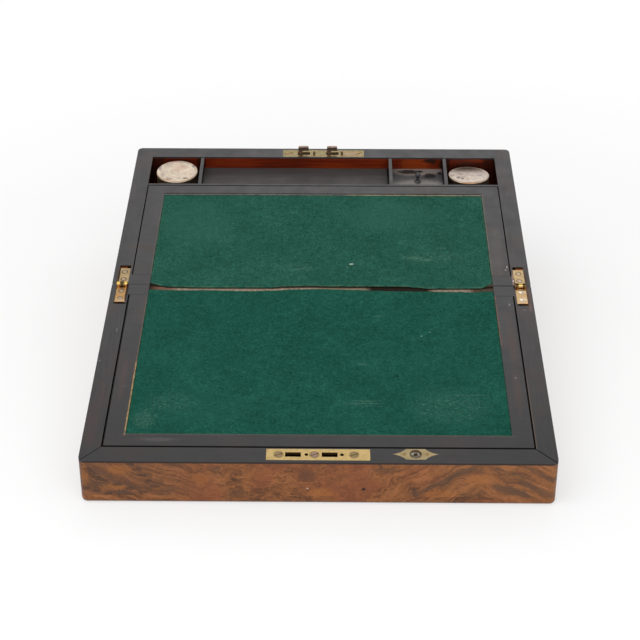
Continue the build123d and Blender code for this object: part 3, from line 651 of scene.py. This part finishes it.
stamp_low, stamp_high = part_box("stamp_lid")
knob_v = (stamp_low.y + stamp_high.y) / 2 / MM / cos(slope) - tray_drop * tan(slope)
knob_foot = on_slope((stamp_low.x + stamp_high.x) / 2 / MM, knob_v, -tray_drop)
knob_height, ball = 9.9, 2.55
knob_profile = [(0, 0), (3.2, 0), (3.25, 0.35), (3.1, 0.65), (2.5, 0.85), (1.75, 1.15),
                (1.3, 1.7), (1.15, 2.6), (1.12, 3.6), (1.2, 4.5), (1.45, 4.9)]
knob_profile += [(ball * sin(radians(turn)), knob_height - ball - ball * cos(radians(turn)))
                 for turn in range(40, 180, 14)] + [(0, knob_height)]
seat = Matrix.Translation(knob_foot) @ Matrix.Rotation(slope, 4, "X")
piece("stamp_lid_knob_turned", lathe("knob", knob_profile, 32, seat),
      ebonised("ebonised_turned_knob", "x", 0.1)[0], "stamp_cover", ["stamp_lid_knob"])

# ---------------------------------------------------------------- lock, plates and hinges
# Cast and filed brass, let in flush and screwed; lacquered once, now dull and brown in the
# corners.  The hooks and the pins of the hinges are blackened steel.


def old_metal(name, bright, dull, roughness, patch=6.0, amount=0.5):
    """A solid metal with worn lacquer: bright and dull patches, fine scratches."""
    material, tree, shader = new_finish(name, roughness, metallic=1.0)
    place = rim_place(tree)
    patches = add(tree, "TexNoise", {"Vector": place, "Scale": 1 / patch, "Detail": 5,
                                     "Roughness": 0.6})
    share = product(ranged(patches.outputs[0], 0.7, None, 0.3), amount)
    colour = add(tree, "Mix", {0: share, 6: linear(bright), 7: linear(dull)}, data_type="RGBA")
    tree.links.new(colour.outputs[2], shader.inputs["Base Color"])
    bumped(shader, grained(place, (20 / 3, 1 / 3, 1 / 3), 3), 0.02)
    return material, shader, place


def ringed(shader, place, centres, radius, colour, strength, width=0.6):
    """Dirt in the ring between a round thing and what it is let into."""
    tree = place.id_data
    for centre in centres:
        near = add(tree, "VectorMath", {0: place, 1: (*centre, 0)}, operation="SUBTRACT")
        flat = add(tree, "VectorMath", {0: near.outputs[0], 1: (1, 1, 0)}, operation="MULTIPLY")
        far = add(tree, "VectorMath", {0: flat.outputs[0]}, operation="LENGTH")
        stained(shader, ranged(far.outputs["Value"], radius - width / 2, radius + width / 2, 0.2),
                colour, strength)


for name, bright, dull, roughness, patch, nodes in (
        ("brass_catch_rivets", "#a98852", "#705838", 0.4, 2.0, ["flap_catch_pins"]),
        ("brass_lock_steady_pins", "#7d6a54", "#4a3c2e", 0.45, 2.0, ["lock_steady_pins"]),
        # the lock case, seen only down the lock plate's slots, is dark brown: tarnish, and painted
        # shade inside the lock
        ("brass_lock_case_brown", "#4a3d28", "#2a2219", 0.5, 5.0, ["lock_case"]),
        ("brass_lock_plate_screws", "#a48c62", "#6e5843", 0.42, 2.0, ["lock_plate_screws"]),
        ("steel_blackened", "#9c8578", "#5f4c42", 0.42, 3.0, ["lock_hook_bolt", "hinge_pins"])):
    dress(old_metal(name, bright, dull, roughness, patch)[0], *nodes)

# The striking plate with its three screws, the flap catch and, far off, the lock plate.
plate_line, catch_x, catch_v = 201.99, 71.3, -200.99
strike_screws = [(x, -plate_line) for x in (-28.9, -2.7, 26.3)]
material, shader, place = old_metal("brass_striking_plate", "#d6b97f", "#a48856", 0.38)
ringed(shader, place, strike_screws, 3.4, "#4c3c26", 0.5)
dress(material, "striking_plate", "keyhole_escutcheon")
material, shader, place = old_metal("brass_striking_plate_screws", "#a58f70", "#7d6656", 0.4, 4.0)
for (x, v), tone in zip(strike_screws, ("#a08a6c", "#a48b84", "#90835a")):
    stained(shader, spots(place, [(x, v, 2.6, 2.6, 3)], 0.3), tone, 0.6)
ringed(shader, place, strike_screws, 3.0, "#c0a46d", 0.8, 0.4)
ringed(shader, place, strike_screws, 2.6, "#4a3a28", 0.6, 0.3)
dress(material, "striking_plate_screws")
material, shader, place = old_metal("brass_flap_catch_plate", "#b3a079", "#877350", 0.4)
ringed(shader, place, [(catch_x - 8.3, catch_v), (catch_x + 8.3, catch_v)], 1.0, "#6b5433", 0.6,
       0.4)
ringed(shader, place, [(catch_x, catch_v)], 4.3, "#3c3022", 0.5, 0.4)
dress(material, "flap_catch_plate")
material, shader, place = old_metal("brass_flap_catch_turn", "#7a7060", "#4a4236", 0.3, 2.5)
# painted glints at the turn's two sides, and painted shade in its hollow middle
stained(shader, spots(place, [((catch_x - 2.3, catch_v + 0.8, -1), (1.0, 1.4, 2)),
                              ((catch_x + 2.2, catch_v + 0.9, -1), (1.0, 1.5, 2))], 0.4),
        "#cdc7b6", 0.45)
stained(shader, spots(place, [((catch_x, catch_v, -1), (1.3, 1.5, 2))], 0.4), "#15110d", 0.5)
dress(material, "flap_catch_turn")
material, shader, place = old_metal("brass_lock_plate", "#92835f", "#64573f", 0.4, amount=0.6)
ringed(shader, place, [(-32.5, plate_line), (33.0, plate_line)], 3.2, "#4c3c26", 0.6)
stained(shader, spots(place, [(30, plate_line, 9, 3, 2)], 0.9), "#a88c78", 0.4)
dress(material, "lock_plate")

# The hinges: each leaf has two screws, and its knuckles stand on the hinge line.
leaf_line = 166.3
screw_rows = (-18, -8)


def hinge_brass(name, colours, dirt):
    """Hinge brass: yellow to orange, black dirt packed beside the knuckles, painted highlights on
    the knuckles and beside the right-hand screws.
    """
    material, shader, place = old_metal(name, *colours, 0.32, patch=5.0)
    for side in (-leaf_line, leaf_line):
        ringed(shader, place, [(side, v) for v in (*screw_rows, 8, 18)], 2.15, "#3f2c18", 0.8)
        stained(shader, spots(place, [(side, -21, 4, 3.5, 4)], 0.9), "#d8b794", 0.6)
        # painted highlight along the knuckles' tops
        stained(shader, spots(place, [((side, 0, 2), (7, 2.4, 2.2))], 0.3), "#dcbc5f", 0.6)
    stained(shader, spots(place, [(leaf_line, -13, 5, 11, 4)], 0.4), "#b9a07c", 0.6)
    # painted reflections beside the right-hand screws
    stained(shader, spots(place, [(leaf_line + 0.6, v + 1, 3.6, 1.6, 4) for v in screw_rows],
                          0.6), "#e4d8c2", 0.6)
    stained(shader, spots(place, dirt, 0.6), "#1d130d", 0.9)
    return material


dress(hinge_brass("brass_hinge_leaves_base", ("#b99f76", "#8c7453"), [
    ((-leaf_line, 0.3, 2), (2.0, 3.4, 5)), ((-leaf_line - 4.2, 12, -1), (0.6, 14, 2)),
    ((leaf_line - 3.2, -0.5, 0), (1.5, 3, 3)), ((leaf_line - 4.2, 7, -1), (0.5, 6, 2))]),
    "base_hinge_leaves")
dress(hinge_brass("brass_hinge_leaves_lid", ("#c99f68", "#a07753"), [
    ((-leaf_line, -1.8, 0), (2.4, 1.8, 3)), ((leaf_line - 3.0, -0.5, 1), (1.9, 2.2, 3)),
    ((leaf_line + 3.0, -0.5, 1), (1.9, 2.2, 3)), ((-leaf_line + 4.4, -11, 0), (0.9, 13, 3)),
    ((-leaf_line, -23.4, -1), (5, 0.8, 2)), ((leaf_line, -23.4, -1), (5, 0.8, 2))]),
    "lid_hinge_leaves")
material, shader, place = old_metal("brass_hinge_screws", "#bfae96", "#7d6c5a", 0.28, 1.2)
# painted glints on the right-hand screws' heads
stained(shader, spots(place, [(leaf_line - 0.6, v + 0.4, 1.6, 1.1, 3) for v in screw_rows],
                      0.3), "#efe8da", 0.9)
dress(material, "base_hinge_screws", "lid_hinge_screws")

# ---------------------------------------------------------------- inkwells
# Square bottles of clear pressed glass, dried ink inside, each with a drawn brass cap whose
# top edge is rolled over and whose lacquer has worn to a pale, pinkish bloom.
glass, _, shader = new_finish("glass_pressed_clear", 0.04, ior=1.52)
shader.inputs["Base Color"].default_value = linear("#7c877f")
shader.inputs["Transmission Weight"].default_value = 0.88
dress(glass, "left_inkwell", "right_inkwell")

cap_radius, cap_height, cap_wall = 19.1, 9.0, 1.7
half, inner = cap_height / 2, cap_radius - cap_wall
skirt = [(0, half - cap_wall), (inner - 0.6, half - cap_wall), (inner, half - cap_wall - 0.6),
         (inner, 0.2 - half), (inner + 0.2, -half), (cap_radius - 0.3, -half),
         (cap_radius - 0.05, 0.3 - half), (cap_radius - 0.05, 1.4 - half),
         (cap_radius - 0.35, 1.7 - half)]
rolled_edge = [(cap_radius - inset, half - drop) for inset, drop in (
    (0.35, 1.9), (0, 1.3), (0, 0.7), (0.35, 0.18), (0.9, 0), (1.5, 0.1), (1.9, 0.34),
    (2.5, 0.38), (4.5, 0.28), (9, 0.2))]
cap_profile = skirt + rolled_edge + [(5, half - 0.16), (0, half - 0.15)]


def cap_finish(name, centre, bright, dull, marks):
    """Worn brass gone pale: cream with pink and grey bloom, dark pits and brown runs.

    Each mark is its place from the middle of the cap's top, half sizes, colour and strength.
    """
    material, tree, shader = new_finish(name, 0.4, metallic=1.0)
    place = table_place(tree)
    patches = add(tree, "TexNoise", {"Vector": place, "Scale": 1 / 8, "Detail": 6,
                                     "Roughness": 0.65}).outputs[0]
    share = product(ranged(patches, 0.68, None, 0.26), 0.6)
    colour = add(tree, "Mix", {0: share, 6: linear(bright), 7: linear(dull)}, data_type="RGBA")
    tree.links.new(colour.outputs[2], shader.inputs["Base Color"])
    mottle = add(tree, "TexNoise", {"Vector": place, "Scale": 1 / 2.4, "Detail": 4,
                                    "Roughness": 0.7}).outputs[0]
    stained(shader, ranged(mottle, 0.68, None, 0.14), "#e0d5c6", 0.55)
    stained(shader, ranged(mottle, None, 0.32, 0.14), "#97857a", 0.55)
    top = centre / MM + Vector((0, 0, half))
    for offset, reach, tone, strength in marks:
        stained(shader, spots(place, [(top + Vector(offset), reach)]), tone, strength)
    ringed(shader, place, [top.xy], cap_radius - 0.3, "#a3815c", 0.5, 1.0)
    fine = add(tree, "TexNoise", {"Vector": place, "Scale": 1.4, "Detail": 4})
    bumped(shader, fine.outputs[0], 0.04)
    gloss = add(tree, "MapRange", {"Value": patches, "From Min": 0.35, "From Max": 0.7,
                                   "To Min": 0.33, "To Max": 0.55})
    tree.links.new(gloss.outputs[0], shader.inputs["Roughness"])
    return material


left_marks = (
    ((2, 5, 0), (6.5, 5.5, 4), "#c8ab97", 0.55), ((-9.5, 1, 0), (3.5, 5, 4), "#dccebd", 0.4),
    ((8.4, -12, -1.5), (2.0, 1.3, 4), "#4a3a32", 0.85),
    ((-6.4, -13.6, -1.8), (3.6, 1.0, 4), "#8a6a50", 0.7),
    ((2.8, -12, -1.6), (1.8, 1.0, 4), "#a08670", 0.5),
    ((-13, -7.4, -1), (1.6, 3.4, 4), "#a39592", 0.6),
    ((-16.2, 6, 0), (1.3, 4.5, 4), "#8c7b80", 0.65),
    ((14.8, 9, 0), (1.5, 2.2, 4), "#6f6474", 0.7), ((-5, 16.5, 1), (7, 1.0, 4), "#c98a80", 0.6))
right_marks = (
    ((-1, 23, 0), (26, 16.5, 5), "#8a7c70", 0.8), ((0, -18.8, -1.5), (14, 1.7, 3), "#b07a48", 0.7),
    ((-10.1, -6.3, 0), (1.8, 2.2, 2), "#6b615f", 0.75),
    ((-6.2, -8.2, 0), (1.1, 1.4, 2), "#332d2b", 0.9),
    ((-15, -1.5, 0), (1.6, 1.6, 2), "#96867e", 0.6), ((-7.6, 2, 0), (2.6, 1.6, 2), "#8b7d79", 0.6),
    ((2.3, -2.5, 0), (2.6, 0.9, 2), "#8d807c", 0.6), ((10, -1, 0), (2.6, 1.8, 2), "#8f8c96", 0.6))
# The left cap sits askew on its bottle.
for side, bright, dull, marks, lean in (("left", "#cbbca9", "#b39d8b", left_marks, radians(7.9)),
                                        ("right", "#cabdb1", "#ab9b8e", right_marks, 0.0)):
    node = side + "_inkwell_cap"
    low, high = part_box(node)
    centre = (low + high) / 2
    finish = cap_finish(f"brass_{side}_cap_pale", centre, bright, dull, marks)
    seat = Matrix.Translation(centre) @ Matrix.Rotation(lean, 4, "X")
    piece(side + "_cap_rolled_edge", lathe(node, cap_profile, 96, seat, 0.06), finish,
          side + "_cap", [node])

# ---------------------------------------------------------------- baize
# A woollen cloth on each half, cut in one piece and glued to the rail and to the flap, so
# that the cloth is the flap's hinge.  Both have torn away along the joint between the halves.
cloth_top, cloth_under = -0.1, -0.98
mesh_step = 1.75


def torn_line(stops, x):
    """The torn edge's distance up the slope at x, through the given stops, with fraying."""
    for (x0, v0), (x1, v1) in zip(stops, stops[1:]):
        if x <= x1:
            share = (x - x0) / (x1 - x0)
            share = share * share * (3 - 2 * share)
            return v0 + (v1 - v0) * share + 0.45 * noise.noise(Vector((x * 0.45, v0, 3)))
    return stops[-1][1]


def baize(name, torn, cut, material, stands_for):
    """One half's cloth: a thin closed sheet from its torn edge to its cut edge."""
    form = bmesh.new()
    fringe = form.verts.layers.float.new("fringe")
    columns = int(2 * cloth_edge / mesh_step) + 1
    rows = int(abs(cut) / mesh_step) + 1
    layers = []
    for top in (True, False):
        grid = []
        for column in range(columns + 1):
            x = -cloth_edge + 2 * cloth_edge * column / columns
            start = torn_line(torn, x)
            line = []
            for row in range(rows + 1):
                v = start + (cut - start) * row / rows
                sideways = 0.25 * noise.noise(Vector((0, v * 0.12, x)))
                at_side = column in (0, columns)
                at_cut = row == rows
                wave = 0.2 * noise.noise(Vector((x * 0.09, 0, 7))) if at_cut else 0
                lift = 0.0
                if top:
                    pile = 0.05 * noise.noise(Vector((x * 0.3, v * 0.3, 0)))
                    lift = pile - (0.3 if at_side or at_cut else 0)
                    lift -= 0.25 if row == 0 else 0
                    if v * cut < 0:                 # hangs over the joint, and curls up
                        lift += 0.06 * abs(v)
                height = (cloth_top if top else cloth_under) + lift
                spot = on_slope(x + (sideways if at_side else 0), v + wave, height)
                corner = form.verts.new(spot)
                corner[fringe] = 1.0 if at_side or at_cut or row == 0 else 0.0
                line.append(corner)
            grid.append(line)
        layers.append(grid)
    upper, lower = layers
    for column in range(columns):
        for row in range(rows):
            form.faces.new((upper[column][row], upper[column + 1][row],
                            upper[column + 1][row + 1], upper[column][row + 1]))
            form.faces.new((lower[column][row], lower[column][row + 1],
                            lower[column + 1][row + 1], lower[column + 1][row]))
    for column in range(columns):
        for row in (0, rows):
            form.faces.new((upper[column][row], upper[column + 1][row],
                            lower[column + 1][row], lower[column][row]))
    for row in range(rows):
        for column in (0, columns):
            form.faces.new((upper[column][row], upper[column][row + 1],
                            lower[column][row + 1], lower[column][row]))
    made = piece(name, meshed(name, form), material, None, stands_for)
    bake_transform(made)


def wool(name, dark, plain, light, fluffy, faded, rubbed, lint):
    """Milled woollen cloth: matt green, fibres 1 mm long felted together, cloudy with wear.

    Its cut and torn edges are fluffy; faded marks have their own colours, rubbed ones show
    raised fibres, and lint, from 0 to 1, is how few pale specks there are.
    """
    material, tree, shader = new_finish(name, 0.95, specular=0.05)
    place = rim_place(tree)
    bent = add(tree, "TexNoise", {"Vector": place, "Scale": 0.3, "Detail": 2})
    curled = add(tree, "VectorMath", {0: bent.outputs["Color"], 1: (3.5, 3.5, 0),
                                      2: place}, operation="MULTIPLY_ADD").outputs[0]
    fibres = add(tree, "TexNoise", {"Vector": curled, "Scale": 0.5, "Detail": 5,
                                    "Roughness": 0.8}).outputs[0]
    clouds = add(tree, "TexNoise", {"Vector": place, "Scale": 1 / 38, "Detail": 5,
                                    "Roughness": 0.65})
    tufts = add(tree, "TexNoise", {"Vector": place, "Scale": 1 / 6, "Detail": 3})
    tone = combined(-0.3, (fibres, 1), (clouds.outputs[0], 0.33), (tufts.outputs[0], 0.27))
    colour = add(tree, "ValToRGB", {0: tone}, ramp=((0.3, dark), (0.5, plain), (0.72, light)))
    tree.links.new(colour.outputs[0], shader.inputs["Base Color"])
    edge = add(tree, "Attribute", attribute_name="fringe").outputs["Fac"]
    patchy = add(tree, "TexNoise", {"Vector": place, "Scale": 0.12, "Detail": 5}).outputs[0]
    stained(shader, product(edge, ranged(patchy, 0.6, None, 0.22)), fluffy, 0.5)
    for marks, tint, strength in faded:
        stained(shader, spots(place, marks, 0.9), tint, strength)
    raised = ranged(grained(curled, (20 / 7, 10 / 9, 1), 4, 0.7), 0.66, None, 0.16)
    stained(shader, product(spots(place, rubbed, 1.2), raised), "#6c8c7a", 0.26)
    specks = add(tree, "TexVoronoi", {"Vector": place, "Scale": 1 / 9})
    near = ranged(specks.outputs["Distance"], None, 0.02, 0.03)
    few = add(tree, "MapRange", {"Value": specks.outputs["Color"], "From Min": lint,
                                 "From Max": lint + 0.02}).outputs[0]
    stained(shader, product(near, few), "#7fa08f", 0.6)
    bumped(shader, fibres, 0.35)
    return material


# The base's cloth is given lighter colours than the lid's: painted light, for the same cloth lit
# more on the far half.
far_cloth = wool("wool_baize_base", "#13392f", "#1f4d40", "#316353", "#54755c", [
    ([(25.4, 29.5, 1.6, 0.8, 2)], "#b9c6b4", 0.8),
    ([(22.2, 23.8, 1.2, 1, 2), (80, 38.5, 7, 2, 2), (90, 36, 5, 1.3, 2),
      (103.5, 53, 4, 0.8, 2), (-20, 22, 3, 1, 2)], "#5d8272", 0.25),
    ([(-112, 90, 34, 30, 4), (60, 100, 40, 22, 4)], "#2f5c4d", 0.3)],
    [(95, 40, 26, 8, 3), (-20, 24, 16, 5, 3)], 0.62)
near_cloth = wool("wool_baize_lid", "#0c342b", "#16483c", "#265c4d", "#2c6a4c", [
    ([(88, -60.8, 0.5, 0.5, 2), (81, -65.8, 0.8, 0.5, 2)], "#a3b8a8", 0.55),
    ([(-131.5, -166, 7, 9, 3)], "#5d7a6b", 0.08),
    ([(33.6, -100.5, 4, 1.4, 2), (47, -40.7, 3, 1, 2), (34, -146, 13, 0.6, 2),
      (36, -143.6, 10, 0.5, 2), (117, -136, 15, 0.6, 2)], "#4d7565", 0.25),
    ([(60.3, -114.5, 1.2, 1.1, 2)], "#14281f", 0.8),
    ([(-90, -150, 45, 20, 4), (100, -150, 30, 26, 4)], "#26584a", 0.15)],
    [(-130, -163, 9, 10, 3), (-112, -146, 16, 9, 3), (100, -150, 26, 16, 3),
     (34, -146, 14, 4, 3)], 0.66)
baize("baize_of_the_base", (
    (-143.6, 3.0), (-139.5, 1.2), (-134, -1.0), (-127, -2.5), (-100, -3.2), (-42, -3.0),
    (-31, -1.2), (-10, -0.2), (10, -0.8), (68, -0.5), (80, -1.9), (89, -3.3), (128, -2.8),
    (134, -2.6), (137.5, 0.2), (140.5, 2.6), (143.6, 4.2)), base_cut, far_cloth,
    ["base_flap_baize", "base_rail_baize"])
baize("baize_of_the_lid", (
    (-143.6, -6.6), (-120, -7.7), (-95, -7.3), (-60, -8.2), (-42, -7.5), (-21, -5.5), (0, -4.9),
    (28, -5.8), (45, -6.9), (60, -7.5), (110, -7.9), (128, -8.6), (136, -7.3), (143.6, -7.0)),
    lid_cut, near_cloth,
    ["lid_flap_baize", "lid_rail_baize"])

# ---------------------------------------------------------------- bench, light and camera
# White paper under and behind the box, soft lamps at the left, in front and behind, and a
# camera where the photograph was taken from.
bench_size = 6.0
bench_mesh = bpy.data.meshes.new("bench")
bench_mesh.from_pydata([(-bench_size, -bench_size, 0), (bench_size, -bench_size, 0),
                        (bench_size, bench_size, 0), (-bench_size, bench_size, 0)],
                       [], [(0, 1, 2, 3)])
bench = bpy.data.objects.new("bench", bench_mesh)
bpy.context.scene.collection.objects.link(bench)
paper = bpy.data.materials.new("white_studio_paper")
paper.use_nodes = True
tree = paper.node_tree
tree.nodes.clear()
# The paper glows only for rays from the camera, off a mirror or through glass, and a little
# less near the box than beyond it: a painted shade round the box.
rays = add(tree, "LightPath").outputs
seen = rays["Is Camera Ray"]
for ray in ("Is Glossy Ray", "Is Transmission Ray"):
    seen = add(tree, "Math", {0: seen, 1: rays[ray]}, operation="MAXIMUM").outputs[0]
away = add(tree, "VectorMath", {0: table_place(tree)}, operation="LENGTH")
glow = add(tree, "MapRange", {"Value": away.outputs["Value"], "From Min": 450, "From Max": 900,
                              "To Min": 0.525, "To Max": 0.62})
glowing = add(tree, "Emission", {"Strength": product(seen, glow.outputs[0])})
matt = add(tree, "BsdfDiffuse", {"Color": (0.4, 0.4, 0.4, 1)})
both = add(tree, "AddShader", {0: matt.outputs[0], 1: glowing.outputs[0]})
add(tree, "OutputMaterial", {"Surface": both.outputs[0]})
bench_mesh.materials.append(paper)

world = bpy.data.worlds.new("studio")
bpy.context.scene.world = world
world.use_nodes = True
tree = world.node_tree
tree.nodes.clear()
# The studio's walls are white up to about 35 degrees, and its ceiling is a little dimmer.
direction = add(tree, "SeparateXYZ", {0: add(tree, "TexCoord").outputs["Generated"]})
room = add(tree, "MapRange", {"Value": direction.outputs[2], "From Min": 0.64, "From Max": 0.86,
                              "To Min": 1.0, "To Max": 0.42}, interpolation_type="SMOOTHSTEP")
seen = add(tree, "LightPath").outputs["Is Camera Ray"]
strength = add(tree, "Mix", {0: seen, 2: room.outputs[0], 3: 1.0}, data_type="FLOAT")
sky = add(tree, "Background", {"Color": (1, 1, 1, 1), "Strength": strength.outputs[0]})
add(tree, "OutputWorld", {"Surface": sky.outputs[0]})

# area lamps: place and aim in metres, size in metres, power in watts
for name, place, aim, size, power in (
        ("softbox_left", (-0.7, -0.7, 1.6), (0, 0, 0), 1.4, 13),
        ("softbox_front", (0.7, -1.4, 1.3), (0, 0, 0), 1.2, 9),
        ("softbox_behind", (0.1, 1.95, 1.8), (0, 0, 0.05), 1.0, 4)):
    lamp = bpy.data.lights.new(name, "AREA")
    lamp.size = size
    lamp.energy = power
    softbox = bpy.data.objects.new(name, lamp)
    softbox.location = place
    softbox.rotation_euler = (Vector(aim) - Vector(place)).to_track_quat("-Z", "Y").to_euler()
    bpy.context.scene.collection.objects.link(softbox)

camera_data = bpy.data.cameras.new("camera")
camera_data.lens = 83.63
camera_data.sensor_width = 36
camera_data.clip_start = 0.01
camera = bpy.data.objects.new("camera", camera_data)
camera_place = Vector((12.1, -1099.43, 653.40)) * MM
yaw, pitch, roll = radians(-0.68), radians(29.1531), radians(-0.0295)
ahead = Vector((sin(yaw) * cos(pitch), cos(yaw) * cos(pitch), -sin(pitch)))
level = Vector((cos(yaw), -sin(yaw), 0))
above = level.cross(ahead)
right = cos(roll) * level + sin(roll) * above
upward = -sin(roll) * level + cos(roll) * above
turned = Matrix((right, upward, -ahead)).transposed()
camera.matrix_world = Matrix.Translation(camera_place) @ turned.to_4x4()
bpy.context.scene.collection.objects.link(camera)
bpy.context.scene.camera = camera
bpy.context.scene.view_settings.view_transform = "Standard"
